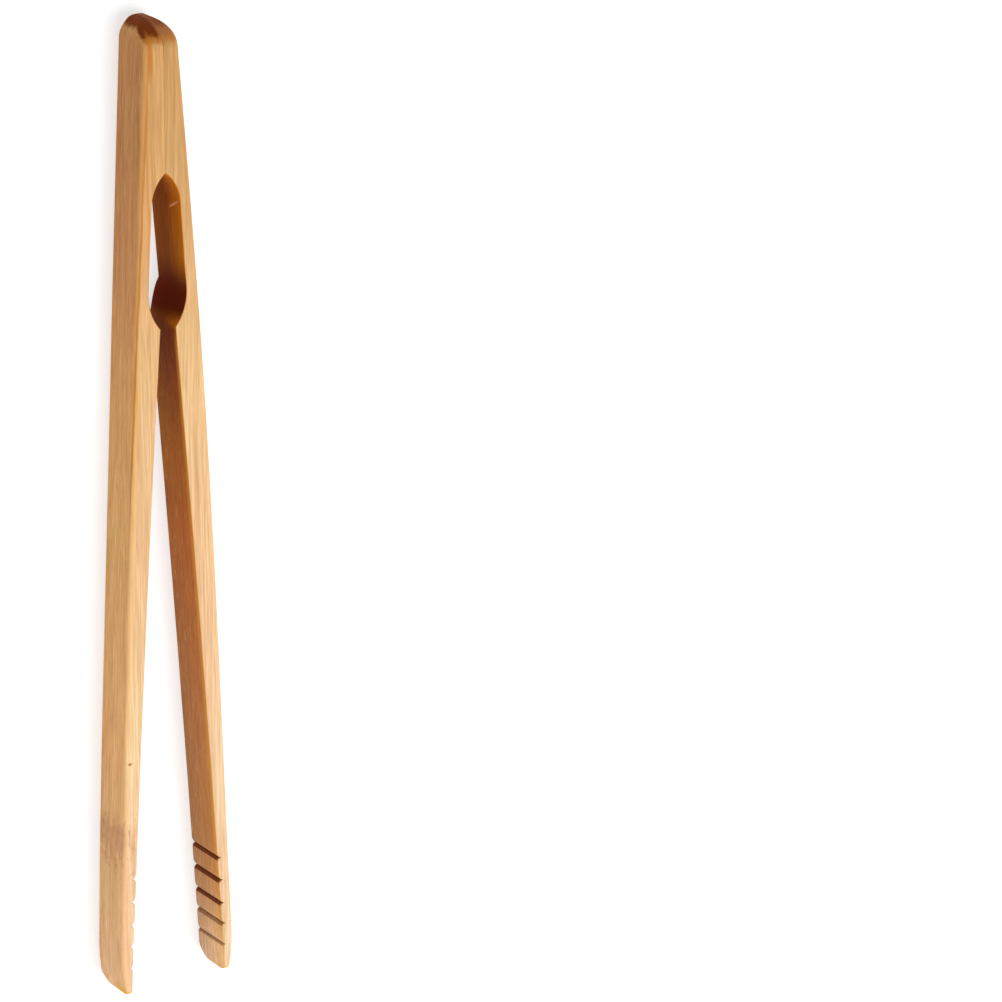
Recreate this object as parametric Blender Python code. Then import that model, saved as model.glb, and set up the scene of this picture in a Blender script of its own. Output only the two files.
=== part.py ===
"""Bamboo spring tongs with a slotted head and notched jaws.

Two bamboo strips are glued face to face at the head. Below the glued length an elongated slot
leaves a thin web on each side, and the arms bend at those webs. The strips mirror each other, but
for their hand-shaped outer faces. The tongs lie on their back face: X is the opening direction,
+Y points to the head and +Z is the front face's outward normal. Lengths along the tongs are
counted in millimetres from the tips, and the origin is the middle of the bounding box's base.
"""

import math

import bmesh
import bpy

MM = 0.001

# Overall size
LENGTH = 180.0
DEPTH = 9.0

# Outer faces: half the overall width at five stations, joined by a quartic
LEFT = -1.0
RIGHT = 1.0
OUTER_STATIONS = {
    LEFT: ((0.0, 11.94), (45.0, 10.46), (90.0, 8.28), (135.0, 6.11), (172.0, 4.35)),
    RIGHT: ((0.0, 12.12), (45.0, 10.40), (90.0, 8.70), (135.0, 6.24), (172.0, 3.66)),
}
ARM_EDGE_RADIUS = 0.9
HEAD_EDGE_RADIUS = 1.3

# Rounded top of the head
HEAD_ARCH_START = 176.1
HEAD_CAP_WIDTH = 0.15
HEAD_FRONT_ROUND = (4.8, 7.0)
HEAD_BACK_ROUND = (0.6, 1.0)

# Inner faces: slightly bowed from the tips to the neck
TIP_GAP_HALF = 9.79
NECK = (125.4, 1.48)
INNER_BOW = 0.33

# Spring slot between the neck and the glued head, wider at the front than at the back. Each
# outline goes through a curve's control point, the top of that curve and the shoulder.
SLOT_FRONT = ((128.4, 3.86), (132.2, 3.75), (147.5, 2.83))
SLOT_BACK = ((130.6, 2.30), (132.0, 3.39), (147.6, 2.20))
SLOT_APEX = 153.4

# Grip notches across the inner face of each jaw, as (height, depth)
NOTCHES = ((22.9, 0.8), (18.4, 0.95), (13.8, 0.8), (9.7, 0.8), (5.5, 0.5))
NOTCH_REACH_DOWN = 0.85
NOTCH_REACH_UP = 1.3

# Rounded tips
TIP_OUTER_ROUND = (7.9, 1.55)
TIP_INNER_ROUND = (0.6, 0.2)
TIP_FRONT_ROUND = (1.2, 2.4)
TIP_BACK_ROUND = (3.1, 4.2)

# Joint, glue line and clearance
HINGE = (137.0, 4.6)
GLUE_THICKNESS = 0.1
CLEARANCE = 0.3

CORNER_STEPS = 4
CURVE_STEPS = 8

STRAW = (0.73, 0.45, 0.19)
HONEY = (0.66, 0.38, 0.15)
AMBER = (0.30, 0.13, 0.04)


def clear_scene():
    """Remove whatever the scene already holds."""
    for old in list(bpy.data.objects):
        bpy.data.objects.remove(old, do_unlink=True)


def through(stations, y):
    """Value at y of the polynomial through all the (y, value) stations."""
    total = 0.0
    for i, (y_i, value) in enumerate(stations):
        for j, (y_j, _) in enumerate(stations):
            if j != i:
                value *= (y - y_j) / (y_i - y_j)
        total += value
    return total


def mix(a, b, share):
    """Straight blend from a to b."""
    return a + (b - a) * share


def quarter(reach):
    """Drop, as a share of the far semi-axis, of an elliptical corner at a share of its reach."""
    return 1.0 - math.sqrt(max(0.0, 1.0 - min(max(reach, 0.0), 1.0) ** 2))


def outer_x(y, side):
    """Distance of a side's outer face from the middle, with the rounded tip and arched head."""
    stations = OUTER_STATIONS[side]
    round_y, round_x = TIP_OUTER_ROUND
    if y < round_y:
        return through(stations, round_y) - round_x * quarter((round_y - y) / round_y)
    if y > HEAD_ARCH_START:
        rise = (y - HEAD_ARCH_START) / (LENGTH - HEAD_ARCH_START)
        return through(stations, HEAD_ARCH_START) * (1.0 - quarter(rise))
    return through(stations, y)


def notch_inset(y):
    """Depth of the notches at y: sharp valleys between rounded shoulders."""
    inset = 0.0
    for height, depth in NOTCHES:
        reach = NOTCH_REACH_UP if y > height else NOTCH_REACH_DOWN
        inset = max(inset, depth * quarter(1.0 - abs(y - height) / reach))
    return inset


def curve_point(share, control, top):
    """Point (y, x) on the curve from the neck up into the slot's widest part."""
    lower = [mix(a, b, share) for a, b in zip(NECK, control)]
    upper = [mix(a, b, share) for a, b in zip(control, top)]
    return [mix(a, b, share) for a, b in zip(lower, upper)]


def curve_x(y, control, top):
    """Half width at y of the curve from the neck up into the slot's widest part."""
    low, high = 0.0, 1.0
    while high - low > 1e-9:
        middle = (low + high) / 2.0
        if curve_point(middle, control, top)[0] < y:
            low = middle
        else:
            high = middle
    return curve_point(low, control, top)[1]


def arc_x(y, shoulder):
    """Half width of the slot's pointed top, an arc from the shoulder to the apex."""
    rise = SLOT_APEX - shoulder[0]
    radius = (rise**2 + shoulder[1] ** 2) / (2.0 * shoulder[1])
    return math.sqrt(max(0.0, radius**2 - (y - shoulder[0]) ** 2)) - radius + shoulder[1]


def slot_x(y, outline):
    """Half width at y of one outline of the slot."""
    control, top, shoulder = outline
    if y < top[0]:
        return curve_x(y, control, top)
    if y < shoulder[0]:
        return mix(top[1], shoulder[1], (y - top[0]) / (shoulder[0] - top[0]))
    return arc_x(y, shoulder)


def inner_x(y, z):
    """Half of the gap between the two strips at height y and at z above the back face."""
    if y < NECK[0]:
        rise = y / NECK[0]
        gap = mix(TIP_GAP_HALF, NECK[1], rise) + 4.0 * INNER_BOW * rise * (1.0 - rise)
        round_y, round_x = TIP_INNER_ROUND
        return gap + notch_inset(y) + round_x * quarter((round_y - y) / round_y)
    glued = GLUE_THICKNESS / 2.0 + CLEARANCE
    if y < SLOT_APEX:
        return max(glued, mix(slot_x(y, SLOT_BACK), slot_x(y, SLOT_FRONT), z / DEPTH))
    return glued


def end_round(y, tip_round, head_round):
    """How far a face lies inside the full depth at height y, near the rounded ends."""
    tip_y, tip_z = tip_round
    head_y, head_z = head_round
    tip = tip_z * quarter((tip_y - y) / tip_y)
    head = head_z * quarter((y - LENGTH + head_y) / head_y)
    return tip + head


def depth_range(y):
    """Heights of the back face and of the front face at y."""
    back = end_round(y, TIP_BACK_ROUND, HEAD_BACK_ROUND)
    front = DEPTH - end_round(y, TIP_FRONT_ROUND, HEAD_FRONT_ROUND)
    return back, front


def strip_section(y, side):
    """Closed outline (x, z) of one strip at y, with rounded corners on its outer face."""
    back, front = depth_range(y)
    inner_back, inner_front, x_out = inner_x(y, back), inner_x(y, front), outer_x(y, side)
    share = min(max((y - NECK[0]) / (HEAD_ARCH_START - NECK[0]), 0.0), 1.0)
    radius = mix(ARM_EDGE_RADIUS, HEAD_EDGE_RADIUS, share)
    radius = min(radius, 0.45 * (x_out - inner_front), 0.45 * (front - back))
    outline = [(inner_back, back)]
    for centre_z, start in ((back + radius, -90.0), (front - radius, 0.0)):
        for step in range(CORNER_STEPS + 1):
            angle = math.radians(start + 90.0 * step / CORNER_STEPS)
            x = x_out - radius + radius * math.cos(angle)
            outline.append((x, centre_z + radius * math.sin(angle)))
    outline.append((inner_front, front))
    return outline


def arc_heights(start, end, steps=CURVE_STEPS):
    """Heights from start to end that crowd towards end, as equal turns of an ellipse do."""
    return [mix(start, end, math.sin(math.pi / 2.0 * i / steps)) for i in range(steps + 1)]


def even_heights(start, end, steps):
    """Evenly spaced heights from start to end."""
    return [mix(start, end, i / steps) for i in range(steps + 1)]


def arm_heights():
    """Heights of the sections of an arm, from the tip to the clearance at the hinge."""
    heights = arc_heights(TIP_OUTER_ROUND[0], 0.0)
    heights += arc_heights(TIP_INNER_ROUND[0], 0.0, CURVE_STEPS // 2)
    for height, _ in NOTCHES:
        for share in (0.0, 0.06, 0.2, 0.5, 1.0):
            heights += [height - share * NOTCH_REACH_DOWN, height + share * NOTCH_REACH_UP]
    heights += even_heights(NOTCHES[0][0] + NOTCH_REACH_UP, NECK[0], CURVE_STEPS)
    for control, top, _ in (SLOT_FRONT, SLOT_BACK):
        steps = range(1, CURVE_STEPS + 1)
        heights += [curve_point(i / CURVE_STEPS, control, top)[0] for i in steps]
    heights.append(HINGE[0] - CLEARANCE / 2.0)
    return tidy_heights(heights)


def head_heights(side):
    """Heights of the sections of a head half, from the hinge to the top of the arch."""
    shoulder = SLOT_FRONT[2][0]
    heights = even_heights(HINGE[0] + CLEARANCE / 2.0, shoulder, 2)
    heights += arc_heights(shoulder, SLOT_APEX)
    heights += even_heights(SLOT_APEX, HEAD_ARCH_START, 4)
    cosine = (inner_x(LENGTH, 0.0) + HEAD_CAP_WIDTH) / outer_x(HEAD_ARCH_START, side)
    top = mix(HEAD_ARCH_START, LENGTH, math.sqrt(1.0 - cosine**2))
    heights += arc_heights(HEAD_ARCH_START, top)
    heights += arc_heights(LENGTH - HEAD_FRONT_ROUND[0], top)
    return tidy_heights(heights)


def glue_heights():
    """Heights of the sections of the glue film, from the slot's apex to the top."""
    heights = even_heights(SLOT_APEX + CLEARANCE, LENGTH - HEAD_FRONT_ROUND[0], 1)
    return tidy_heights(heights + arc_heights(LENGTH - HEAD_FRONT_ROUND[0], LENGTH))


def tidy_heights(heights):
    """Sort heights and drop any that nearly repeats the one before."""
    kept = []
    for y in sorted(heights):
        if not kept or y - kept[-1] > 0.02:
            kept.append(y)
    return kept


def bamboo(name, colour, roughness):
    """Plain lacquered bamboo, or glue, as a Principled BSDF."""
    material = bpy.data.materials.new(name)
    material.use_nodes = True
    shader = material.node_tree.nodes["Principled BSDF"]
    shader.inputs["Base Color"].default_value = (*colour, 1.0)
    shader.inputs["Roughness"].default_value = roughness
    shader.inputs["Metallic"].default_value = 0.0
    return material


def loft(name, side, heights, section, origin, material):
    """Skin closed sections into one solid whose origin is at (x, y) in the tongs' plane."""
    origin_x, origin_y = side * origin[0], origin[1]
    solid = bmesh.new()
    rings = []
    for y in heights:
        ring = [
            solid.verts.new(((side * x - origin_x) * MM, (y - origin_y) * MM, z * MM))
            for x, z in section(y, side)
        ]
        rings.append(ring)
    for lower, upper in zip(rings, rings[1:]):
        count = len(lower)
        for i in range(count):
            j = (i + 1) % count
            solid.faces.new((lower[i], lower[j], upper[j], upper[i]))
    solid.faces.new(rings[0])
    solid.faces.new(rings[-1])
    bmesh.ops.recalc_face_normals(solid, faces=solid.faces[:])
    mesh = bpy.data.meshes.new(name)
    solid.to_mesh(mesh)
    solid.free()
    mesh.shade_smooth()
    mesh.set_sharp_from_angle(angle=math.radians(35.0))
    mesh.materials.append(material)
    piece = bpy.data.objects.new(name, mesh)
    piece.location = (origin_x * MM, (origin_y - LENGTH / 2.0) * MM, 0.0)
    bpy.context.scene.collection.objects.link(piece)
    return piece


def glue_section(y, side):
    """Closed outline (x, z) of the glue film at y, flush with the faces of the head."""
    back, front = depth_range(y)
    half = side * GLUE_THICKNESS / 2.0
    return [(-half, back), (half, back), (half, front), (-half, front)]


def build():
    """Make the two head halves, the glue film and the two arms."""
    clear_scene()
    hinge = (HINGE[1], HINGE[0])
    head_origin = (0.0, LENGTH / 2.0)
    for word, side, colour in (("left", LEFT, STRAW), ("right", RIGHT, HONEY)):
        head_bamboo = bamboo(f"{word}_head_bamboo", colour, 0.5)
        heights = head_heights(side)
        loft(f"{word}_head_half", side, heights, strip_section, head_origin, head_bamboo)
        arm_bamboo = bamboo(f"{word}_arm_bamboo", colour, 0.5)
        loft(f"{word}_arm", side, arm_heights(), strip_section, hinge, arm_bamboo)
    glue = bamboo("dried_glue", AMBER, 0.35)
    loft("glue_film", RIGHT, glue_heights(), glue_section, head_origin, glue)


build()
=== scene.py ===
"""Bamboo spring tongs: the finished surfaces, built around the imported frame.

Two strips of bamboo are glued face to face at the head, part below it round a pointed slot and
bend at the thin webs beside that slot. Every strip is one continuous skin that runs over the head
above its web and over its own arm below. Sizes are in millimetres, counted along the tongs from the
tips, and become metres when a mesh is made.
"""

from __future__ import annotations

import logging
import math
from dataclasses import dataclass
from enum import Enum
from typing import NamedTuple, Sequence

import bmesh
import bpy
from mathutils import Matrix, Vector, noise


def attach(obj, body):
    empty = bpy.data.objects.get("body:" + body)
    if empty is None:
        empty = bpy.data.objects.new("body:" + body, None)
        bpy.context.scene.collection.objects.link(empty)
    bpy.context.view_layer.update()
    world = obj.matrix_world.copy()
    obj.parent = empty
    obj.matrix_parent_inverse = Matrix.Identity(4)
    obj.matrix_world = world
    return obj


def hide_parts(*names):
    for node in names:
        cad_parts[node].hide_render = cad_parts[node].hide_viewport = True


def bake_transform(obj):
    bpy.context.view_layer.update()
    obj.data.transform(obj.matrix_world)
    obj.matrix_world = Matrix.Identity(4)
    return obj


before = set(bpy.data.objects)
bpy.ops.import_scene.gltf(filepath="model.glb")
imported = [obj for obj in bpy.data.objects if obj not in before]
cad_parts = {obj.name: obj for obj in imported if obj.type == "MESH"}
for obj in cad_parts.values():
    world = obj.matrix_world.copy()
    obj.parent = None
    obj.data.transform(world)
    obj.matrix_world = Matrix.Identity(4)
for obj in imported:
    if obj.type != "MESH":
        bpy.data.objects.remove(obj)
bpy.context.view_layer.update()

LOG = logging.getLogger("tongs")
MM = 0.001
LENGTH = 180.0
DEPTH = 9.0

Colour = tuple[float, float, float]
Triple = tuple[float, float, float]
Stops = Sequence[tuple[float, Colour]]
Socket = bpy.types.NodeSocket

RUN_GAP_FACE = 20.0
RUN_GAP_EDGE = 12.0
RUN_BACK_EDGE = -12.0
RUN_BACK_FACE = -16.0
LANE_WIDTH = 11.0
LANE_GAP = 23.0
LANE_OUTER = 31.0


class Side(Enum):
    """Which strip of the pair, as the sign of its X."""

    LEFT = -1.0
    RIGHT = 1.0

    @property
    def word(self) -> str:
        """The side's plain word."""
        return self.name.lower()


class RingPoint(NamedTuple):
    """One point of a strip's section, with its run from the middle of the outer front edge."""

    x: float
    z: float
    run: float


def mix(a: float, b: float, share: float) -> float:
    """Blend straight from a to b."""
    return a + (b - a) * share


def clamp(value: float, low: float = 0.0, high: float = 1.0) -> float:
    """Hold a value between two limits."""
    return min(max(value, low), high)


def smooth(value: float, low: float, high: float) -> float:
    """Rise smoothly from 0 at low to 1 at high.

    Args:
        value: Where to read the step.
        low: Start of the rise, which may lie above high for a falling step.
        high: End of the rise.

    Returns:
        The height of the step, from 0 to 1.
    """
    share = clamp((value - low) / (high - low))
    return share * share * (3.0 - 2.0 * share)


def quarter(reach: float) -> float:
    """Drop of an elliptical corner at a share of its reach, as a share of its far semi-axis."""
    return 1.0 - math.sqrt(max(0.0, 1.0 - clamp(reach) ** 2))


def through(stations: Sequence[tuple[float, float]], y: float) -> float:
    """Read the polynomial through all stations.

    Args:
        stations: The (height, value) pairs that it passes through.
        y: Height to read it at.

    Returns:
        The polynomial's value at y.
    """
    total = 0.0
    for i, (y_i, value) in enumerate(stations):
        for j, (y_j, _) in enumerate(stations):
            if j != i:
                value *= (y - y_j) / (y_i - y_j)
        total += value
    return total


@dataclass(frozen=True)
class SlotOutline:
    """Half of the slot's outline on one face: a curve out of the neck, a straight side, an arc."""

    control: tuple[float, float]
    top: tuple[float, float]
    shoulder: tuple[float, float]

    def x(self, y: float, neck: tuple[float, float], apex: float) -> float:
        """Read the outline.

        Args:
            y: Height along the tongs.
            neck: Height and half width of the neck that the curve leaves.
            apex: Height of the slot's pointed top.

        Returns:
            The half width at y, which may fall below zero past the apex.
        """
        (control_y, control_x), (top_y, top_x), (side_y, side_x) = self.control, self.top, self.shoulder
        if y < top_y:
            low, high = 0.0, 1.0
            while high - low > 1e-7:
                share = (low + high) / 2.0
                rise = mix(mix(neck[0], control_y, share), mix(control_y, top_y, share), share)
                low, high = (share, high) if rise < y else (low, share)
            return mix(mix(neck[1], control_x, low), mix(control_x, top_x, low), low)
        if y < side_y:
            return mix(top_x, side_x, (y - top_y) / (side_y - top_y))
        radius = ((apex - side_y) ** 2 + side_x**2) / (2.0 * side_x)
        return math.sqrt(max(0.0, radius**2 - (y - side_y) ** 2)) - radius + side_x


@dataclass(frozen=True)
class StripProfile:
    """Every size that shapes one strip, and the outlines that follow from them."""

    outer_stations: tuple[tuple[float, float], ...]
    depth: float = DEPTH
    arm_edge: float = 0.9
    head_edge: float = 1.3
    inner_edge: float = 0.2
    arch_start: float = 176.1
    head_front_round: tuple[float, float] = (4.8, 7.0)
    head_back_round: tuple[float, float] = (0.6, 1.0)
    tip_gap: float = 9.79
    neck: tuple[float, float] = (125.4, 1.48)
    bow: float = 0.33
    slot_front: SlotOutline = SlotOutline((128.4, 3.86), (132.2, 3.75), (147.5, 2.83))
    slot_back: SlotOutline = SlotOutline((130.6, 2.30), (132.0, 3.39), (147.6, 2.20))
    apex: float = 153.4
    glue: float = 0.05
    notches: tuple[tuple[float, float], ...] = (
        (22.9, 0.8),
        (18.4, 0.95),
        (13.8, 0.8),
        (9.7, 0.8),
        (5.5, 0.5),
    )
    notch_down: float = 0.85
    notch_up: float = 1.3
    tip_outer_round: tuple[float, float] = (7.9, 1.55)
    tip_inner_round: tuple[float, float] = (0.6, 0.2)
    tip_front_round: tuple[float, float] = (1.2, 2.4)
    tip_back_round: tuple[float, float] = (3.1, 4.2)
    waviness: float = 0.05

    def outer_x(self, y: float) -> float:
        """Half of the overall width at height y, with the rounded tip and the arched head.

        Args:
            y: Height along the tongs.

        Returns:
            The half width at y.
        """
        round_y, round_x = self.tip_outer_round
        if y < round_y:
            drop = round_x * quarter((round_y - y) / round_y)
            return through(self.outer_stations, round_y) - drop
        if y > self.arch_start:
            rise = (y - self.arch_start) / (LENGTH - self.arch_start)
            return through(self.outer_stations, self.arch_start) * (1.0 - quarter(rise))
        return through(self.outer_stations, y)

    def notch(self, y: float) -> tuple[float, float]:
        """Read the grip notches at height y.

        Args:
            y: Height along the tongs.

        Returns:
            How deep the notches cut here, and the height above the nearest valley.
        """
        centre, depth = min(self.notches, key=lambda entry: abs(entry[0] - y))
        reach = self.notch_up if y > centre else self.notch_down
        return depth * quarter(1.0 - abs(y - centre) / reach), y - centre

    def inner_x(self, y: float, z: float) -> float:
        """Half of the gap between the two strips at height y and at z above the back face.

        Args:
            y: Height along the tongs.
            z: Height above the back face.

        Returns:
            The half gap at that place.
        """
        if y < self.neck[0]:
            rise = y / self.neck[0]
            gap = mix(self.tip_gap, self.neck[1], rise) + 4.0 * self.bow * rise * (1.0 - rise)
            round_y, round_x = self.tip_inner_round
            return gap + self.notch(y)[0] + round_x * quarter(1.0 - y / round_y)
        if y < self.apex:
            back = self.slot_back.x(y, self.neck, self.apex)
            return max(self.glue, mix(back, self.slot_front.x(y, self.neck, self.apex), z / self.depth))
        return self.glue

    def end_round(self, y: float, tip: tuple[float, float], head: tuple[float, float]) -> float:
        """How far a face lies inside the full depth near the rounded ends.

        Args:
            y: Height along the tongs.
            tip: Reach along Y and along Z of the rounding at the tip.
            head: The same at the head.

        Returns:
            The distance from the full depth's face.
        """
        at_tip = tip[1] * quarter((tip[0] - y) / tip[0])
        at_head = head[1] * quarter((y - LENGTH + head[0]) / head[0])
        return at_tip + at_head

    def depth_range(self, y: float) -> tuple[float, float]:
        """Heights of the back face and of the front face at y.

        Args:
            y: Height along the tongs.

        Returns:
            The back face's height and the front face's.
        """
        back = self.end_round(y, self.tip_back_round, self.head_back_round)
        front = self.depth - self.end_round(y, self.tip_front_round, self.head_front_round)
        return back, front

    def edge_radius(self, y: float) -> float:
        """Rounding of the two long outer edges, which grows towards the head."""
        share = clamp((y - self.neck[0]) / (self.arch_start - self.neck[0]))
        return mix(self.arm_edge, self.head_edge, share)

    def heights(self) -> list[float]:
        """Heights of a strip's sections, close together wherever the outline turns.

        Returns:
            The heights, in order from the tip to the head.
        """
        marks: list[float] = []
        turns = 22
        for start, end in (
            (self.tip_outer_round[0], 0.0),
            (self.tip_back_round[0], 0.0),
            (self.tip_inner_round[0], 0.0),
            (self.slot_front.shoulder[0], self.apex),
            (self.arch_start, LENGTH - 0.002),
            (LENGTH - self.head_front_round[0], LENGTH - 0.002),
        ):
            marks += [mix(start, end, math.sin(math.pi / 2.0 * i / turns)) for i in range(turns + 1)]
        for centre, _ in self.notches:
            for step in range(15):
                share = (step / 14.0) ** 1.6
                marks += [centre - share * self.notch_down, centre + share * self.notch_up]
        marks += [i * 0.5 for i in range(1, round(LENGTH / 0.5) - 1)]
        marks += [self.neck[0] + i * 0.16 for i in range(70)]
        marks.append(self.neck[0] - 0.05)
        return spaced(marks, 0.012)


def spaced(marks: Sequence[float], gap: float) -> list[float]:
    """Sort marks and drop any that lies closer than a gap to the one before.

    Args:
        marks: The marks in any order.
        gap: Smallest distance that two kept marks may have.

    Returns:
        The kept marks, in order.
    """
    kept: list[float] = []
    for mark in sorted(marks):
        if not kept or mark - kept[-1] > gap:
            kept.append(mark)
    return kept


class NodeGraph:
    """A short way to write a material's nodes, where every call gives back an output socket."""

    def __init__(self, name: str) -> None:
        """Start a material of that name with one Principled shader.

        Args:
            name: Name of the new material.
        """
        self.material = bpy.data.materials.new(name)
        self.material.use_nodes = True
        self.tree = self.material.node_tree
        self.shader = self.tree.nodes["Principled BSDF"]

    def _feed(self, socket: Socket, value: object) -> None:
        """Link a socket to an output, or set its value.

        Args:
            socket: The input to feed.
            value: An output socket, a colour, a vector or a number.
        """
        if isinstance(value, Socket):
            self.tree.links.new(value, socket)
        elif isinstance(value, tuple) and socket.type == "RGBA":
            socket.default_value = (*value[:3], 1.0)
        else:
            socket.default_value = value

    def set(self, socket: str, value: object) -> None:
        """Feed one of the shader's own sockets."""
        self._feed(self.shader.inputs[socket], value)

    def attribute(self, name: str, output: str = "Fac") -> Socket:
        """Read a value stored on the mesh.

        Args:
            name: Name of the stored value.
            output: Which of the node's outputs to read.

        Returns:
            The value's socket.
        """
        node = self.tree.nodes.new("ShaderNodeAttribute")
        node.attribute_name = name
        return node.outputs[output]

    def split(self, vector: Socket) -> list[Socket]:
        """Split a vector into its three components.

        Args:
            vector: The vector to split.

        Returns:
            The sockets of X, Y and Z.
        """
        node = self.tree.nodes.new("ShaderNodeSeparateXYZ")
        self._feed(node.inputs[0], vector)
        return list(node.outputs)

    def math(self, operation: str, a: object, b: object = 0.0, c: object = 0.0) -> Socket:
        """Work out one arithmetic step.

        Args:
            operation: Blender's name of the operation.
            a: First operand, a number or a socket.
            b: Second operand.
            c: Third operand, where the operation has one.

        Returns:
            The result's socket.
        """
        node = self.tree.nodes.new("ShaderNodeMath")
        node.operation = operation
        for socket, value in zip(node.inputs, (a, b, c)):
            self._feed(socket, value)
        return node.outputs[0]

    def step(self, value: object, low: float, high: float, top: float = 1.0) -> Socket:
        """Rise smoothly from 0 at low to top at high.

        Args:
            value: Where to read the step.
            low: Start of the rise, which may lie above high for a falling step.
            high: End of the rise.
            top: Height of the step.

        Returns:
            The step's socket.
        """
        node = self.tree.nodes.new("ShaderNodeMapRange")
        node.interpolation_type = "SMOOTHSTEP"
        for socket, entry in zip(node.inputs, (value, low, high, 0.0, top)):
            self._feed(socket, entry)
        return node.outputs[0]

    def bump_mask(self, value: object, centre: float, reach: float) -> Socket:
        """Rise to 1 at a centre and fall to 0 at a reach on either side."""
        away = self.math("ABSOLUTE", self.math("SUBTRACT", value, centre))
        return self.step(away, reach, 0.0)

    def blend(self, share: object, a: object, b: object, mode: str = "MIX") -> Socket:
        """Mix two colours.

        Args:
            share: How much of the second colour shows.
            a: First colour.
            b: Second colour.
            mode: Blender's name of the way they mix.

        Returns:
            The mixed colour's socket.
        """
        node = self.tree.nodes.new("ShaderNodeMix")
        node.data_type = "RGBA"
        node.blend_type = mode
        self._feed(node.inputs["Factor"], share)
        sockets = [s for s in node.inputs if s.type == "RGBA"]
        self._feed(sockets[0], a)
        self._feed(sockets[1], b)
        return next(s for s in node.outputs if s.type == "RGBA")

    def ramp(self, value: object, stops: Stops) -> Socket:
        """Read a colour off a row of stops.

        Args:
            value: Where to read, from 0 to 1.
            stops: The (place, colour) pairs, in order.

        Returns:
            The colour's socket.
        """
        node = self.tree.nodes.new("ShaderNodeValToRGB")
        elements = node.color_ramp.elements
        while len(elements) < len(stops):
            elements.new(0.5)
        for element, (place, colour) in zip(elements, stops):
            element.position = place
            element.color = (*colour, 1.0)
        self._feed(node.inputs[0], value)
        return node.outputs[0]

    def stretched(self, vector: Socket, scale: Triple, shift: Triple) -> Socket:
        """Scale a vector along each axis, then shift it.

        Args:
            vector: The vector to change.
            scale: Factor along each axis.
            shift: Distance or socket added afterwards.

        Returns:
            The new vector's socket.
        """
        node = self.tree.nodes.new("ShaderNodeVectorMath")
        node.operation = "MULTIPLY_ADD"
        for socket, value in zip(node.inputs, (vector, scale, shift)):
            self._feed(socket, value)
        return node.outputs[0]

    def noise(
        self,
        vector: Socket,
        detail: float,
        roughness: float,
        output: int = 0,
    ) -> Socket:
        """Read cloudy noise whose largest features are one unit across.

        Args:
            vector: Where to read it.
            detail: Number of ever finer layers.
            roughness: Weight of each finer layer.
            output: 0 for the value, 1 for three values in one vector.

        Returns:
            The noise's socket, around one half.
        """
        node = self.tree.nodes.new("ShaderNodeTexNoise")
        self._feed(node.inputs["Vector"], vector)
        node.inputs["Scale"].default_value = 1.0
        node.inputs["Detail"].default_value = detail
        node.inputs["Roughness"].default_value = roughness
        return node.outputs[output]

    def tinted(self, colour: object, value: object, low: Colour, high: Colour) -> Socket:
        """Multiply a colour by a tint that runs from low to high as noise goes from 0.3 to 0.7."""
        return self.blend(1.0, colour, self.ramp(value, ((0.3, low), (0.7, high))), "MULTIPLY")

    def ellipse(self, terms: Sequence[tuple[object, float, float]]) -> Socket:
        """Distance from a point in an ellipse's own measure.

        Args:
            terms: For each direction the coordinate, the centre and the half axis.

        Returns:
            0 at the centre and 1 on the ellipse.
        """
        total: object = 0.0
        for value, centre, half_axis in terms:
            away = self.math("DIVIDE", self.math("SUBTRACT", value, centre), half_axis)
            total = self.math("MULTIPLY_ADD", away, away, total)
        return self.math("SQRT", total)

    def cells(self, vector: Socket) -> Socket:
        """Read the distance to the nearest of many scattered points.

        Args:
            vector: Where to read it.

        Returns:
            The distance's socket.
        """
        node = self.tree.nodes.new("ShaderNodeTexVoronoi")
        self._feed(node.inputs["Vector"], vector)
        node.inputs["Scale"].default_value = 1.0
        return node.outputs[0]

    def bump(self, height: object, depth: float, strength: float) -> None:
        """Give the shader a bump of that depth in metres.

        Args:
            height: Height of the surface, from 0 to 1.
            depth: Depth of the relief in metres.
            strength: How much of it shows.
        """
        node = self.tree.nodes.new("ShaderNodeBump")
        node.inputs["Distance"].default_value = depth
        node.inputs["Strength"].default_value = strength
        self._feed(node.inputs["Height"], height)
        self.tree.links.new(node.outputs[0], self.shader.inputs["Normal"])


class Reading(NamedTuple):
    """What a bamboo finish reads off the strip, with the fibre noises worked out from it."""

    grain: Socket
    x: Socket
    y: Socket
    z: Socket
    outward: Socket
    along: Socket
    forward: Socket
    inward: Socket
    run: Socket
    strands: Socket
    wisps: Socket
    hairs: Socket


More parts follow.
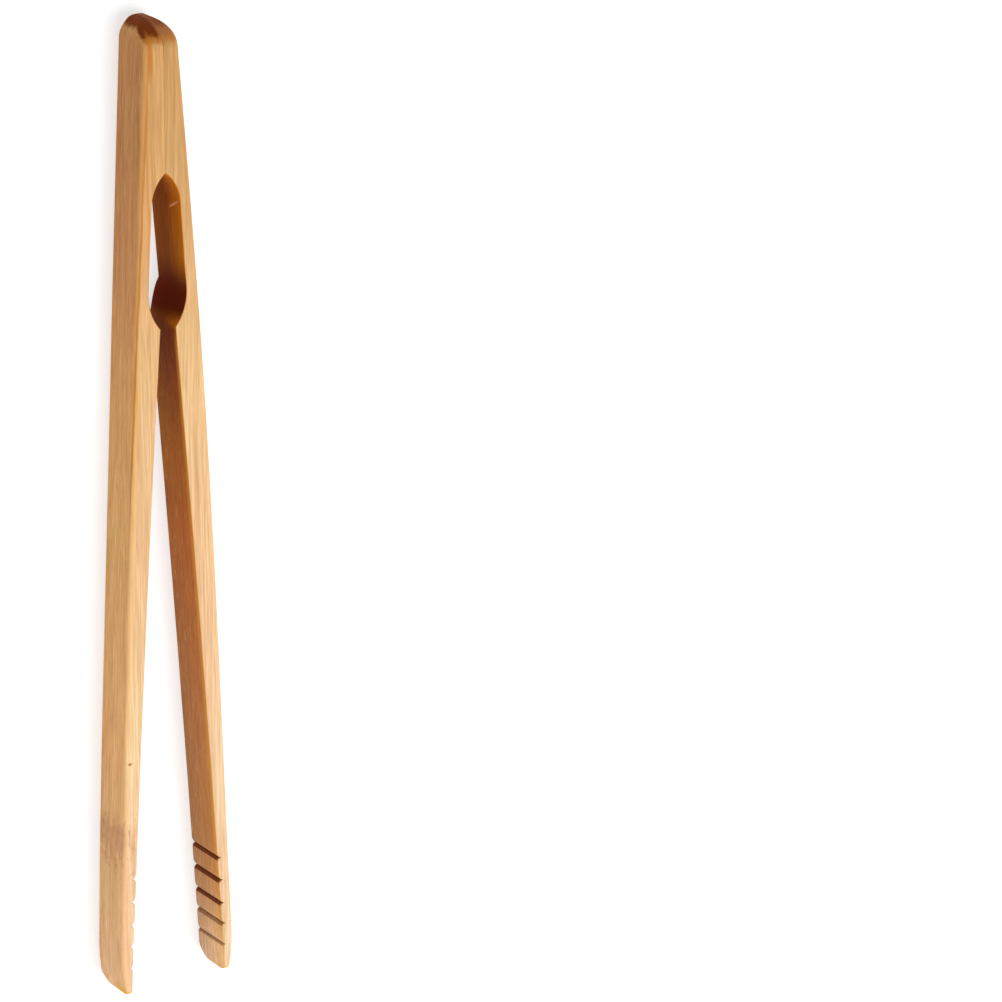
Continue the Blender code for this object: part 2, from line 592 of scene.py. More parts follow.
@dataclass(frozen=True)
class BambooFinish:
    """Oiled bamboo: fibres, streaks, end grain, painted highlight on the edge, painted shade and light in the
    gap, slot and arch, and the marks of one strip.
    """

    front: Stops = (
        (0.03, (0.836, 0.557, 0.352)),
        (0.16, (0.816, 0.546, 0.341)),
        (0.27, (0.877, 0.651, 0.385)),
        (0.48, (0.816, 0.546, 0.314)),
        (0.68, (0.745, 0.478, 0.237)),
        (0.78, (0.724, 0.41, 0.185)),
        (0.88, (0.663, 0.389, 0.161)),
        (1.0, (0.663, 0.378, 0.151)),
    )
    outer: Stops = (
        (0.03, (0.927, 0.578, 0.319)),
        (0.11, (0.845, 0.524, 0.264)),
        (0.25, (0.865, 0.492, 0.22)),
        (0.5, (0.803, 0.46, 0.19)),
        (0.63, (0.766, 0.416, 0.172)),
        (0.73, (0.666, 0.33, 0.136)),
        (0.88, (0.567, 0.273, 0.105)),
        (1.0, (0.577, 0.278, 0.11)),
    )
    # Gap face: browner wood, with painted shade that deepens towards the neck as the gap narrows.
    inner: Stops = (
        (0.03, (0.86, 0.57, 0.335)),
        (0.11, (0.61, 0.305, 0.12)),
        (0.3, (0.55, 0.243, 0.081)),
        (0.48, (0.56, 0.21, 0.043)),
        (0.58, (0.50, 0.195, 0.021)),
        (0.68, (0.33, 0.082, 0.004)),
        (0.72, (0.29, 0.085, 0.006)),
    )
    # Amber of the streaks, also laid as a painted highlight along the rounded outer front edge.
    streak_and_edge_highlight: Stops = (
        (0.0, (0.98, 0.60, 0.29)),
        (0.45, (0.97, 0.545, 0.20)),
        (0.6, (0.90, 0.46, 0.112)),
        (0.8, (0.70, 0.32, 0.084)),
        (1.0, (0.66, 0.30, 0.09)),
    )
    vein: Colour = (0.46, 0.17, 0.03)
    crease: Colour = (0.86, 0.41, 0.075)
    # Dark end grain of the head's arch, also used as painted shade where the arch faces away from the light.
    end_grain_and_shade: Colour = (0.195, 0.036, 0.0015)
    dome: Colour = (0.46, 0.175, 0.055)
    ember: Colour = (0.52, 0.19, 0.03)
    tip_grain: Colour = (0.86, 0.42, 0.06)
    node_band: Colour = (0.52, 0.25, 0.13)
    notch_dark: Colour = (0.17, 0.035, 0.006)
    # Slot walls: painted shade on browner wood, darkest at the belly and towards the back, with painted light
    # in orange towards the front face. The darkest colour also marks the end grain's pores, and the back
    # colour marks the speck.
    slot_belly_shade_and_pores: Colour = (0.165, 0.014, 0.0006)
    slot_back_shade_and_speck: Colour = (0.31, 0.094, 0.008)
    slot_front_painted_light: Colour = (0.76, 0.265, 0.010)
    pale: Colour = (0.95, 0.55, 0.25)
    node_height: float = 29.0
    node_strength: float = 0.7
    vein_strength: float = 0.85
    blot_strength: float = 0.85
    end_grain_shade_strength: float = 1.0
    nick_strength: float = 0.0
    speck_place: tuple[float, float] = (9.35, 45.4)
    speck_size: tuple[float, float] = (0.6, 0.42)
    blot_place: tuple[float, float] = (2.6, 174.5)
    blot_size: tuple[float, float] = (0.8, 6.0)
    nick_place: tuple[float, float] = (143.2, 6.9)
    nick_size: tuple[float, float] = (0.32, 1.9)
    nick_slant: float = 0.55
    vein_slope: float = 0.0173
    vein_start: float = -2.01
    vein_fade: tuple[float, float] = (86.0, 100.0)
    crease_tip_fade: tuple[float, float] = (4.0, 14.0)
    crease_neck_fade: tuple[float, float] = (126.0, 122.0)
    belly_top_fade: tuple[float, float] = (138.0, 131.0)
    belly_neck_fade: tuple[float, float] = (125.2, 128.2)
    dome_fade: tuple[float, float] = (172.0, 175.5)
    rim_fade: tuple[float, float] = (172.0, 175.0)
    seed: float = 3.1

    def material(self, name: str) -> bpy.types.Material:
        """Build the finish.

        Args:
            name: Name of the new material.

        Returns:
            The material.
        """
        g = NodeGraph(name)
        grain = g.attribute("grain_mm", "Vector")
        x, y, z = g.split(grain)
        outward, along, forward = g.split(g.attribute("facing", "Vector"))
        run = g.attribute("edge_run")
        inward = g.math("MULTIPLY", outward, -1.0)
        share = g.math("DIVIDE", y, LENGTH)
        shift = (self.seed, 0.3 * self.seed, 1.7 * self.seed)
        sway = g.noise(g.stretched(grain, (0.10, 0.022, 0.10), shift), 2.0, 0.5, output=1)
        flow = g.stretched(sway, (1.8, 0.0, 1.8), grain)
        bands = g.noise(g.stretched(flow, (0.6, 0.008, 0.6), shift), 2.0, 0.5)
        strands = g.noise(g.stretched(flow, (1.9, 0.022, 1.9), shift), 3.0, 0.6)
        wisps = g.noise(g.stretched(flow, (2.7, 0.085, 2.7), shift), 2.0, 0.55)
        hairs = g.noise(g.stretched(flow, (8.0, 0.12, 8.0), shift), 3.0, 0.65)
        dashes = g.noise(g.stretched(flow, (4.5, 0.26, 4.5), shift), 2.0, 0.5)
        read = Reading(grain, x, y, z, outward, along, forward, inward, run, strands, wisps, hairs)
        colour = g.blend(g.step(outward, 0.72, 0.96), g.ramp(share, self.front), g.ramp(share, self.outer))
        colour = g.blend(g.step(inward, 0.35, 0.8), colour, self._inner(g, share, z))
        colour = g.tinted(colour, bands, (0.97, 0.92, 0.88), (1.03, 1.06, 1.08))
        colour = g.tinted(colour, strands, (0.86, 0.80, 0.70), (1.08, 1.10, 1.12))
        colour = g.tinted(colour, wisps, (0.88, 0.84, 0.79), (1.09, 1.10, 1.11))
        colour = g.tinted(colour, hairs, (0.85, 0.82, 0.78), (1.10, 1.11, 1.13))
        # Streak amber, which also serves as the painted edge highlight on the outer front edge.
        amber = g.ramp(share, self.streak_and_edge_highlight)
        colour = g.blend(g.step(dashes, 0.58, 0.76, 0.45), colour, amber)
        colour = self._edges(g, read, colour, amber)
        colour = self._node(g, read, colour)
        colour, inside = self._slot(g, read, colour)
        colour = self._notches(g, read, colour)
        colour, ends = self._ends(g, read, colour)
        colour = self._marks(g, read, colour)
        g.set("Base Color", colour)
        rough = g.math("MULTIPLY_ADD", strands, 0.2, 0.38)
        rough = g.math("ADD", rough, g.math("MULTIPLY", ends, 0.12))
        rough = g.math("ADD", rough, g.math("MULTIPLY", inside, 0.15))
        g.set("Roughness", rough)
        g.set("IOR", 1.4)
        g.set("Specular IOR Level", 0.06)
        height = g.math("MULTIPLY_ADD", hairs, 0.5, g.math("MULTIPLY", strands, 0.3))
        height = g.math("MULTIPLY_ADD", wisps, 0.3, height)
        g.bump(height, 0.00009, 0.35)
        return g.material

    def _inner(self, g: NodeGraph, share: object, z: object) -> Socket:
        """Colour the gap face with painted shade: browner towards the back, more orange towards the front.

        Args:
            g: The material's node graph.
            share: Height along the tongs, from 0 to 1.
            z: Height above the back face.

        Returns:
            The gap face's colour.
        """
        depth = g.math("DIVIDE", z, DEPTH)
        # Painted shade: darker near the back face by the floor, lighter towards the front face.
        depth_shade = ((0.0, (0.80, 0.84, 1.0)), (0.5, (1.0, 1.0, 1.0)), (0.9, (1.25, 1.18, 0.95)))
        return g.blend(1.0, g.ramp(share, self.inner), g.ramp(depth, depth_shade), "MULTIPLY")

    def _edges(self, g: NodeGraph, read: Reading, colour: Socket, amber: Socket) -> Socket:
        """Lay the orange streak and vein on the outer front edge, and the crease on the inner one. The orange
        band on the rounded outer front edge is partly the bamboo's streak and partly painted highlight.

        Args:
            g: The material's node graph.
            read: What the finish reads off the strip.
            colour: The colour so far.
            amber: Colour of the streak and of the painted edge highlight at each height.

        Returns:
            The colour with the edges laid over it.
        """
        # Orange band on the rounded outer front edge: the bamboo's streak with painted highlight.
        soft = g.math("ADD", read.run, g.math("MULTIPLY_ADD", read.strands, 0.8, -0.4))
        drift = g.math("MULTIPLY_ADD", read.y, self.vein_slope, self.vein_start)
        centre = g.math("MAXIMUM", g.math("MULTIPLY", drift, 0.6), 0.1)
        away = g.math("ABSOLUTE", g.math("SUBTRACT", soft, centre))
        band = g.math("MULTIPLY", g.step(away, 1.0, 0.1), g.math("MULTIPLY_ADD", read.wisps, 1.0, 0.25))
        colour = g.blend(g.math("MULTIPLY", band, self.vein_strength), colour, amber)
        thin = g.math("ADD", read.run, g.math("MULTIPLY_ADD", read.wisps, 0.5, -0.25))
        away = g.math("ABSOLUTE", g.math("SUBTRACT", thin, drift))
        vein = g.math("MULTIPLY", g.step(away, 0.32, 0.06), g.step(read.y, *self.vein_fade))
        vein = g.math("MULTIPLY", vein, g.step(read.strands, 0.25, 0.5, self.vein_strength))
        colour = g.blend(g.math("MULTIPLY", vein, 0.8), colour, self.vein)
        crease = g.math("MULTIPLY", g.step(read.z, 7.8, 8.5), g.step(read.inward, 0.25, 0.6, 0.85))
        crease = g.math("MULTIPLY", crease, g.step(read.y, *self.crease_tip_fade))
        crease = g.math("MULTIPLY", crease, g.step(read.y, *self.crease_neck_fade))
        return g.blend(crease, colour, self.crease)

    def _node(self, g: NodeGraph, read: Reading, colour: Socket) -> Socket:
        """Stain the band where a culm node crossed the strip, with its short flecks.

        Args:
            g: The material's node graph.
            read: What the finish reads off the strip.
            colour: The colour so far.

        Returns:
            The colour with the node band over it.
        """
        blot = g.noise(g.stretched(read.grain, (0.8, 0.35, 0.8), (7.0, 1.0, 3.0)), 4.0, 0.7)
        height = g.math("ADD", read.y, g.math("MULTIPLY_ADD", blot, 11.0, -5.5))
        above = self.node_height + 4.8
        lower = g.step(height, above - 10.5, above - 2.5)
        band = g.math("MULTIPLY", g.step(height, above, above - 1.0), lower)
        band = g.math("MULTIPLY", band, g.math("MULTIPLY_ADD", blot, 2.0, -0.25))
        band = g.math("MULTIPLY", band, g.math("ADD", g.step(read.outward, 0.5, 0.95, 0.65), 0.35))
        colour = g.blend(g.math("MULTIPLY", band, self.node_strength), colour, self.node_band)
        flecks = g.noise(g.stretched(read.grain, (2.8, 0.6, 2.8), (2.0, 5.0, 9.0)), 2.0, 0.5)
        near = g.step(g.math("ABSOLUTE", g.math("SUBTRACT", read.y, self.node_height)), 9.0, 3.0)
        spots = g.math("MULTIPLY", g.step(flecks, 0.60, 0.70, self.node_strength), near)
        return g.blend(spots, colour, self.vein)

    def _slot(self, g: NodeGraph, read: Reading, colour: Socket) -> tuple[Socket, Socket]:
        """Colour the walls of the slot brown, with painted shade darkest at the belly and painted light in
        orange near the front.

        Args:
            g: The material's node graph.
            read: What the finish reads off the strip.
            colour: The colour so far.

        Returns:
            The colour with the painted shade on the walls, and where those walls are.
        """
        inside = g.attribute("slot_wall_shade")
        # Painted light: the walls turn from brown to orange towards the front face.
        lit = g.step(g.math("MULTIPLY_ADD", read.wisps, 1.5, read.z), 4.0, 9.6)
        wall = g.blend(lit, self.slot_back_shade_and_speck, self.slot_front_painted_light)
        wall = g.tinted(wall, read.wisps, (0.88, 0.86, 0.8), (1.1, 1.12, 1.15))
        # Painted shade, darkest in the belly of the slot.
        deep = g.math("MULTIPLY", g.step(read.y, *self.belly_top_fade), g.step(read.y, *self.belly_neck_fade))
        wall = g.blend(g.math("MULTIPLY", deep, 0.96), wall, self.slot_belly_shade_and_pores)
        return g.blend(inside, colour, wall), inside

    def _notches(self, g: NodeGraph, read: Reading, colour: Socket) -> Socket:
        """Darken the lower walls of the grip notches, less so near the tip: the cuts' darker end grain with
        painted shade in the valleys.

        Args:
            g: The material's node graph.
            read: What the finish reads off the strip.
            colour: The colour so far.

        Returns:
            The colour with the dark notches.
        """
        valley = g.attribute("valley")
        dark = g.step(g.math("ADD", valley, g.math("MULTIPLY_ADD", read.hairs, 0.3, -0.15)), 0.08, 0.42)
        dark = g.math("MULTIPLY", dark, g.math("ADD", g.step(read.y, 9.0, 13.0, 0.35), 0.6))
        return g.blend(g.math("MULTIPLY", dark, g.step(read.z, 9.1, 8.4)), colour, self.notch_dark)

    def _ends(self, g: NodeGraph, read: Reading, colour: Socket) -> tuple[Socket, Socket]:
        """Show the dark dotted end grain on the head's arch and the amber grain on the tips. The left strip's
        arch and the top ridge are darkened further with painted shade.

        Args:
            g: The material's node graph.
            read: What the finish reads off the strip.
            colour: The colour so far.

        Returns:
            The colour with the end grain, and where that grain is.
        """
        pores = g.cells(g.stretched(read.grain, (2.6, 0.4, 2.6), (0.0, 0.0, 0.0)))
        dots = g.step(pores, 0.35, 0.1, 0.4)
        cloud = g.noise(g.stretched(read.grain, (0.9, 0.5, 0.9), (4.0, 4.0, 4.0)), 3.0, 0.6)
        lean = g.math("ADD", read.along, g.math("MULTIPLY_ADD", cloud, 0.4, -0.2))
        lean = g.math("ADD", lean, g.math("MULTIPLY_ADD", read.hairs, 0.16, -0.08))
        lean = g.math("SUBTRACT", lean, g.step(read.outward, 0.4, 0.85, 0.15))
        top = g.math("MULTIPLY", g.step(lean, 0.34, 0.68), g.step(read.y, *self.dome_fade))
        # Painted shade over the end grain: the top ridge, and the whole arch of the left strip.
        ridge = g.step(read.along, 0.80, 0.94, 0.7)
        core = g.math("MAXIMUM", ridge, g.step(read.x, -0.1, 0.75, self.end_grain_shade_strength))
        shade = g.blend(core, self.dome, self.end_grain_and_shade)
        shade = g.blend(g.math("MULTIPLY", dots, core), shade, self.slot_belly_shade_and_pores)
        colour = g.blend(top, colour, shade)
        rim = g.math("MULTIPLY", g.bump_mask(lean, 0.50, 0.25), g.step(read.forward, 0.5, 0.8, 0.8))
        colour = g.blend(g.math("MULTIPLY", rim, g.step(read.y, *self.rim_fade)), colour, self.ember)
        low = g.step(g.math("MULTIPLY", read.along, -1.0), 0.05, 0.35, 0.9)
        low = g.math("MULTIPLY", low, g.math("MULTIPLY", g.step(read.y, 3.6, 1.4), g.step(read.z, 4.5, 6.5)))
        colour = g.blend(low, colour, self.tip_grain)
        return colour, g.math("ADD", top, low)

    def _marks(self, g: NodeGraph, read: Reading, colour: Socket) -> Socket:
        """Add the single marks: head blot, speck on the front face and pale nick in the slot.

        Args:
            g: The material's node graph.
            read: What the finish reads off the strip.
            colour: The colour so far.

        Returns:
            The colour with the marks over it.
        """
        blot_x, blot_y = zip(self.blot_place, self.blot_size)
        blot = g.step(g.ellipse(((read.x, *blot_x), (read.y, *blot_y))), 1.0, 0.2, self.blot_strength)
        colour = g.blend(g.math("MULTIPLY", blot, g.step(read.forward, 0.3, 0.7)), colour, self.ember)
        speck_x, speck_y = zip(self.speck_place, self.speck_size)
        spot = g.step(g.ellipse(((read.x, *speck_x), (read.y, *speck_y))), 1.0, 0.3, 0.75)
        colour = g.blend(g.math("MULTIPLY", spot, g.step(read.forward, 0.5, 0.8)), colour, self.slot_back_shade_and_speck)
        slant = g.math("SUBTRACT", read.y, g.math("MULTIPLY", read.z, self.nick_slant))
        nick_y, nick_z = zip(self.nick_place, self.nick_size)
        nick = g.step(g.ellipse(((slant, *nick_y), (read.z, *nick_z))), 1.0, 0.55, self.nick_strength)
        return g.blend(g.math("MULTIPLY", nick, g.step(read.inward, 0.4, 0.7)), colour, self.pale)


RIGHT_FINISH = BambooFinish(
    front=(
        (0.07, (0.828, 0.598, 0.391)),
        (0.35, (0.828, 0.551, 0.33)),
        (0.58, (0.808, 0.541, 0.297)),
        (0.68, (0.798, 0.53, 0.27)),
        (0.78, (0.717, 0.452, 0.216)),
        (0.88, (0.626, 0.378, 0.16)),
        (1.0, (0.606, 0.347, 0.138)),
    ),
    node_height=15.0,
    node_strength=0.22,
    vein_strength=0.3,
    blot_strength=0.0,
    end_grain_shade_strength=0.0,
    nick_strength=0.9,
    speck_place=(0.0, -40.0),
    seed=8.4,
)


@dataclass(frozen=True)
class GlueFinish:
    """Dried glue, a little darker than the bamboo that it joins."""

    colour: Colour = (0.50, 0.265, 0.10)
    end_colour: Colour = (0.36, 0.13, 0.035)

    def material(self, name: str) -> bpy.types.Material:
        """Build the finish.

        Args:
            name: Name of the new material.

        Returns:
            The material.
        """
        g = NodeGraph(name)
        place = g.attribute("grain_mm", "Vector")
        cloud = g.noise(g.stretched(place, (3.0, 0.25, 1.2), (0.0, 0.0, 0.0)), 3.0, 0.6)
        tones = ((0.3, tuple(0.9 * c for c in self.colour)), (0.7, tuple(1.1 * c for c in self.colour)))
        height = g.split(place)[1]
        g.set("Base Color", g.blend(g.step(height, 82.5, 85.5), g.ramp(cloud, tones), self.end_colour))
        g.set("Roughness", g.math("MULTIPLY_ADD", cloud, 0.25, 0.4))
        g.set("Specular IOR Level", 0.15)
        g.bump(cloud, 0.00002, 0.3)
        return g.material


@dataclass(frozen=True)
class FloorFinish:
    """Plain white sweep that is lit from below a little, like a light table."""

    colour: Colour = (0.5, 0.5, 0.5)
    glow: float = 0.62

    def material(self, name: str) -> bpy.types.Material:
        """Build the finish.

        Args:
            name: Name of the new material.

        Returns:
            The material.
        """
        g = NodeGraph(name)
        g.set("Base Color", self.colour)
        g.set("Roughness", 0.9)
        g.set("Specular IOR Level", 0.1)
        g.set("Emission Color", (1.0, 1.0, 1.0))
        g.set("Emission Strength", self.glow)
        return g.material


def store(mesh: bpy.types.Mesh, name: str, kind: str, values: Sequence[object]) -> None:
    """Keep one value per point on a mesh for its material to read.

    Args:
        mesh: The mesh.
        name: Name of the attribute.
        kind: Blender's name of the value's type, FLOAT or FLOAT_VECTOR.
        values: The value of each point, in order.
    """
    layer = mesh.attributes.new(name, kind, "POINT")
    if kind == "FLOAT_VECTOR":
        layer.data.foreach_set("vector", [c for v in values for c in v])
    else:
        layer.data.foreach_set("value", list(values))


@dataclass
class BambooStrip:
    """One half of the tongs: head half, web, arm and notched jaw in one piece of bamboo."""

    side: Side
    profile: StripProfile
    finish: BambooFinish
    inner_steps: int = 14
    edge_steps: int = 4
    front_steps: int = 8
    round_steps: int = 8
    outer_steps: int = 10
    bend: tuple[float, float] = (147.5, 127.0)

    def wave(self, y: float, z: float, lane: float) -> float:
        """Hand-sanded unevenness, always inwards, in millimetres."""
        place = Vector((y * 0.035, z * 0.12, lane + 3.0 * self.side.value))
        return self.profile.waviness * (0.5 + 0.5 * noise.noise(place))

    def section(self, y: float) -> list[RingPoint]:
        """Walk once round the strip at height y.

        Args:
            y: Height along the tongs.

        Returns:
            The ring's points, from the inner back edge over the front face and round the back.
        """
        p = self.profile
        back, front = p.depth_range(y)
        middle = (back + front) / 2.0
        calm = smooth(y, 0.0, 6.0) * smooth(y, LENGTH, LENGTH - 8.0)
        outer = p.outer_x(y) - calm * self.wave(y, middle, LANE_WIDTH)
        width = outer - p.inner_x(y, middle)
        small = min(p.inner_edge, 0.2 * width, 0.2 * (front - back))
        large = min(p.edge_radius(y), 0.5 * (width - small), 0.45 * (front - back))
        glued = y > p.apex
        if glued:
            small = min(small, 0.02)
        ring: list[RingPoint] = []

        def inner(z: float) -> float:
            """Gap face at depth z, with the sanding marks of the open stretch."""
            rough = 0.0 if glued else 0.6 * calm * self.wave(y * 2.0, z * 2.0, LANE_GAP)
            return p.inner_x(y, clamp(z, 0.0, p.depth)) + rough * smooth(width, 0.3, 1.5)

        for i in range(self.edge_steps):
            turn = math.pi / 2.0 * i / self.edge_steps
            z = back + small * (1.0 - math.cos(turn))
            ring.append(RingPoint(inner(z) + small * (1.0 - math.sin(turn)), z, RUN_GAP_FACE))
        for i in range(self.inner_steps + 1):
            z = mix(back + small, front - small, i / self.inner_steps)
            ring.append(RingPoint(inner(z), z, RUN_GAP_FACE))
        for i in range(1, self.edge_steps + 1):
            turn = math.pi / 2.0 * i / self.edge_steps
            z = front - small * (1.0 - math.sin(turn))
            ring.append(RingPoint(inner(z) + small * (1.0 - math.cos(turn)), z, RUN_GAP_EDGE))
        start = ring[-1].x
        half_arc = large * math.pi / 4.0
        for i in range(1, self.front_steps):
            x = mix(start, outer - large, i / self.front_steps)
            ring.append(RingPoint(x, front, half_arc + outer - large - x))
        for i in range(self.round_steps + 1):
            turn = math.pi / 2.0 * i / self.round_steps
            x = outer - large * (1.0 - math.sin(turn))
            z = front - large * (1.0 - math.cos(turn))
            ring.append(RingPoint(x, z, large * (math.pi / 4.0 - turn)))
        for i in range(1, self.outer_steps):
            z = mix(front - large, back + large, i / self.outer_steps)
            hollow = calm * 0.5 * (self.wave(y, z, LANE_OUTER) - self.wave(y, front, LANE_OUTER))
            ring.append(RingPoint(outer - max(0.0, hollow), z, z - front + large - half_arc))
        for i in range(self.round_steps + 1):
            turn = math.pi / 2.0 * i / self.round_steps
            x = outer - large * (1.0 - math.cos(turn))
            z = back + large * (1.0 - math.sin(turn))
            ring.append(RingPoint(x, z, RUN_BACK_EDGE))
        start = inner(back) + small
        for i in range(1, self.front_steps):
            x = mix(outer - large, start, i / self.front_steps)
            ring.append(RingPoint(x, back, RUN_BACK_FACE))
        return ring

    def mesh(self) -> bpy.types.Mesh:
        """Skin the sections into a closed mesh that carries its rest place and facing.

        Returns:
            The mesh, in metres.
        """
        heights = self.profile.heights()
        sections = [self.section(y) for y in heights]
        sign = self.side.value
        skin = bmesh.new()
        rings = [
            [skin.verts.new((sign * q.x * MM, (y - LENGTH / 2.0) * MM, q.z * MM)) for q in section]
            for y, section in zip(heights, sections)
        ]
        for lower, upper in zip(rings, rings[1:]):
            for i, corner in enumerate(lower):
                j = (i + 1) % len(lower)
                skin.faces.new((corner, lower[j], upper[j], upper[i]))
        skin.faces.new(rings[0])
        skin.faces.new(rings[-1])
        bmesh.ops.recalc_face_normals(skin, faces=skin.faces[:])
        mesh = bpy.data.meshes.new(f"{self.side.word}_half")
        skin.to_mesh(mesh)
        skin.free()
        mesh.shade_smooth()
        mesh.set_sharp_from_angle(angle=math.radians(40.0))
        places = [(q.x, y, q.z) for y, section in zip(heights, sections) for q in section]
        facing = [(sign * v.normal.x, v.normal.y, v.normal.z) for v in mesh.vertices]
        store(mesh, "grain_mm", "FLOAT_VECTOR", places)
        store(mesh, "facing", "FLOAT_VECTOR", facing)
        store(mesh, "edge_run", "FLOAT", [q.run for section in sections for q in section])
        store(mesh, "slot_wall_shade", "FLOAT", [self.slot_wall_shade(p[1], f) for p, f in zip(places, facing)])
        store(mesh, "valley", "FLOAT", [self.valley(p[1], f) for p, f in zip(places, facing)])
        return mesh

    def slot_wall_shade(self, y: float, facing: Triple) -> float:
        """How much painted slot shade a point takes: only walls that look into the slot take it.

        Args:
            y: Height along the tongs.
            facing: Direction that the surface faces there.

        Returns:
            The share of painted slot shade, from 0 to 1.
        """
        p = self.profile
        inward = smooth(-facing[0] + 0.35 * abs(facing[1]), 0.25, 0.6)
        return inward * smooth(y, p.neck[0] - 1.2, p.neck[0] + 0.6) * (1.0 if y < p.apex + 0.3 else 0.0)

    def valley(self, y: float, facing: Triple) -> float:
        """How dark a point is at the bottom or on the lower wall of a grip notch.

        Args:
            y: Height along the tongs.
            facing: Direction that the surface faces there.

        Returns:
            The darkness, from 0 to 1.
        """
        above = self.profile.notch(y)[1]
        wall = smooth(above, -0.78, -0.5) * smooth(above, 0.22, 0.02)
        turned = max(smooth(facing[1], 0.12, 0.5), smooth(abs(above), 0.3, 0.05))
        return wall * turned * smooth(-facing[0] + 0.8 * abs(facing[1]), 0.2, 0.5)

    def build(self) -> bpy.types.Object:
        """Make the strip and dress it, hiding the imported head half and arm that it stands in for.

        Returns:
            The strip's object.
        """
        name = f"{self.side.word}_half"
        mesh = self.mesh()
        mesh.materials.append(self.finish.material(f"{self.side.word}_bamboo"))
        piece = bpy.data.objects.new(name, mesh)
        bpy.context.scene.collection.objects.link(piece)
        arm = f"{self.side.word}_arm"
        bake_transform(piece)
        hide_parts(f"{self.side.word}_head_half", arm)
        LOG.info("%s: %d points", name, len(mesh.vertices))
        return piece


@dataclass
class GlueSeam:
    """The film of glue between the two head halves."""

    profile: StripProfile
    finish: GlueFinish
    steps: int = 60
    round_steps: int = 20

    def build(self) -> bpy.types.Object:
        """Make the film from its side outline, dress it and let it ride on the head.

        Returns:
            The film's object.
        """
        p = self.profile
        low = p.apex - 0.15
        marks = [mix(low, LENGTH - 0.01, i / self.steps) for i in range(self.steps + 1)]
        for i in range(self.round_steps):
            turn = math.pi / 2.0 * i / self.round_steps
            marks.append(LENGTH - p.head_front_round[0] * (1.0 - math.sin(turn)))
        heights = spaced(marks, 0.01)
        skin = bmesh.new()
        rings = []
        for y in heights:
            back, front = p.depth_range(y)
            corners = ((-p.glue, back), (p.glue, back), (p.glue, front), (-p.glue, front))
            rings.append([skin.verts.new((x * MM, (y - LENGTH / 2.0) * MM, z * MM)) for x, z in corners])
        for lower, upper in zip(rings, rings[1:]):
            for i in range(4):
                j = (i + 1) % 4
                skin.faces.new((lower[i], lower[j], upper[j], upper[i]))
        skin.faces.new(rings[0])
        skin.faces.new(rings[-1])
        bmesh.ops.recalc_face_normals(skin, faces=skin.faces[:])
        mesh = bpy.data.meshes.new("glue_seam")
        skin.to_mesh(mesh)
        skin.free()
        places = [tuple(c / MM for c in v.co) for v in mesh.vertices]
        store(mesh, "grain_mm", "FLOAT_VECTOR", places)
        mesh.materials.append(self.finish.material("dried_glue"))
        piece = bpy.data.objects.new("glue_seam", mesh)
        bpy.context.scene.collection.objects.link(piece)
        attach(piece, "head")
        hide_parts("glue_film")
        LOG.info("glue_seam: %d points", len(mesh.vertices))
        return piece


@dataclass(frozen=True)
class SoftLight:
    """One rectangular studio light that looks at a point on the tongs."""

    name: str
    place: Triple
    target: Triple
    size: float
    power: float
    colour: Colour = (1.0, 1.0, 1.0)

    def build(self) -> bpy.types.Object:
        """Hang the light.

        Returns:
            The light's object.
        """
        lamp = bpy.data.lights.new(self.name, "AREA")
        lamp.shape = "DISK"
        lamp.size = self.size
        lamp.energy = self.power
        lamp.color = self.colour
        piece = bpy.data.objects.new(self.name, lamp)
        piece.location = self.place
        aim = Vector(self.target) - Vector(self.place)
        piece.rotation_euler = aim.to_track_quat("-Z", "Y").to_euler()
        bpy.context.scene.collection.objects.link(piece)
        return piece


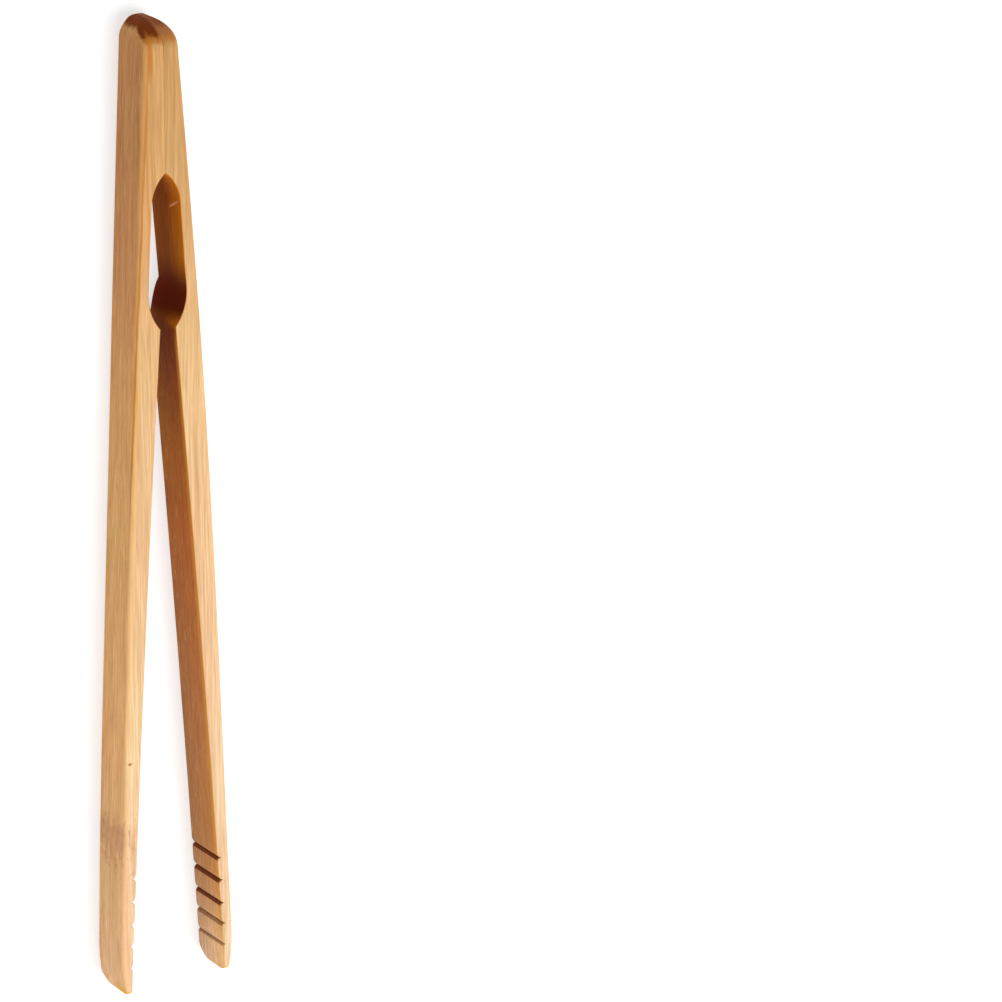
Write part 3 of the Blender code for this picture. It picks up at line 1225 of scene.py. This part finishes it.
@dataclass
class Studio:
    """White floor, soft light and the camera."""

    floor_half: float = 6.0
    world_strength: float = 0.4
    azimuth: float = 34.365
    elevation: float = 19.481
    roll: float = 0.38
    camera_place: Triple = (-0.42251, 0.29880, 0.72993)
    focal_mm: float = 180.2
    lights: tuple[SoftLight, ...] = (
        SoftLight("key_light", (0.35, -0.5, 1.2), (0.0, 0.0, 0.0), 1.1, 17.7),
    )

    def floor(self) -> bpy.types.Object:
        """Lay the floor just under the tongs' back face.

        Returns:
            The floor's object.
        """
        half = self.floor_half
        skin = bmesh.new()
        corners = ((-half, -half), (half, -half), (half, half), (-half, half))
        skin.faces.new([skin.verts.new((x, y, 0.0)) for x, y in corners])
        mesh = bpy.data.meshes.new("floor")
        skin.to_mesh(mesh)
        skin.free()
        mesh.materials.append(FloorFinish().material("white_floor"))
        piece = bpy.data.objects.new("floor", mesh)
        bpy.context.scene.collection.objects.link(piece)
        return piece

    def camera(self) -> bpy.types.Object:
        """Place the camera on the head's side of the tongs, over their left edge.

        The directions are those of tongs that stand on their tips: the azimuth turns from the
        front face towards the left one and the elevation lifts the camera towards the head.

        Returns:
            The camera object.
        """
        a, e, r = (math.radians(v) for v in (self.azimuth, self.elevation, self.roll))
        away = Vector((-math.sin(a) * math.cos(e), math.sin(e), math.cos(a) * math.cos(e)))
        right = Vector((0.0, 1.0, 0.0)).cross(away).normalized()
        up = away.cross(right)
        turned = right * math.cos(r) + up * math.sin(r)
        upright = up * math.cos(r) - right * math.sin(r)
        lens = bpy.data.cameras.new("camera")
        lens.lens = self.focal_mm
        lens.sensor_width = 36.0
        lens.clip_end = 30.0
        piece = bpy.data.objects.new("camera", lens)
        place = Matrix((turned, upright, away)).transposed().to_4x4()
        place.translation = Vector(self.camera_place)
        piece.matrix_world = place
        bpy.context.scene.collection.objects.link(piece)
        bpy.context.scene.camera = piece
        return piece

    def build(self) -> None:
        """Set up the whole studio."""
        self.floor()
        for light in self.lights:
            light.build()
        self.camera()
        scene = bpy.context.scene
        world = bpy.data.worlds.new("studio_air")
        world.use_nodes = True
        air = world.node_tree.nodes["Background"]
        air.inputs["Color"].default_value = (1.0, 1.0, 1.0, 1.0)
        air.inputs["Strength"].default_value = self.world_strength
        scene.world = world
        scene.view_settings.view_transform = "Standard"
        scene.view_settings.look = "None"
        LOG.info("studio: floor, %d light and a camera", len(self.lights))


def main() -> None:
    """Build every piece of the tongs and the studio round them."""
    logging.basicConfig(level=logging.INFO, format="%(name)s %(message)s")
    outer_left = ((0.0, 11.94), (45.0, 10.46), (90.0, 8.28), (135.0, 6.11), (172.0, 4.35))
    outer_right = ((0.0, 12.12), (45.0, 10.40), (90.0, 8.70), (135.0, 6.24), (172.0, 3.66))
    left = StripProfile(outer_left)
    BambooStrip(Side.LEFT, left, BambooFinish()).build()
    BambooStrip(Side.RIGHT, StripProfile(outer_right), RIGHT_FINISH).build()
    GlueSeam(left, GlueFinish()).build()
    Studio().build()


if __name__ == "__main__":
    main()
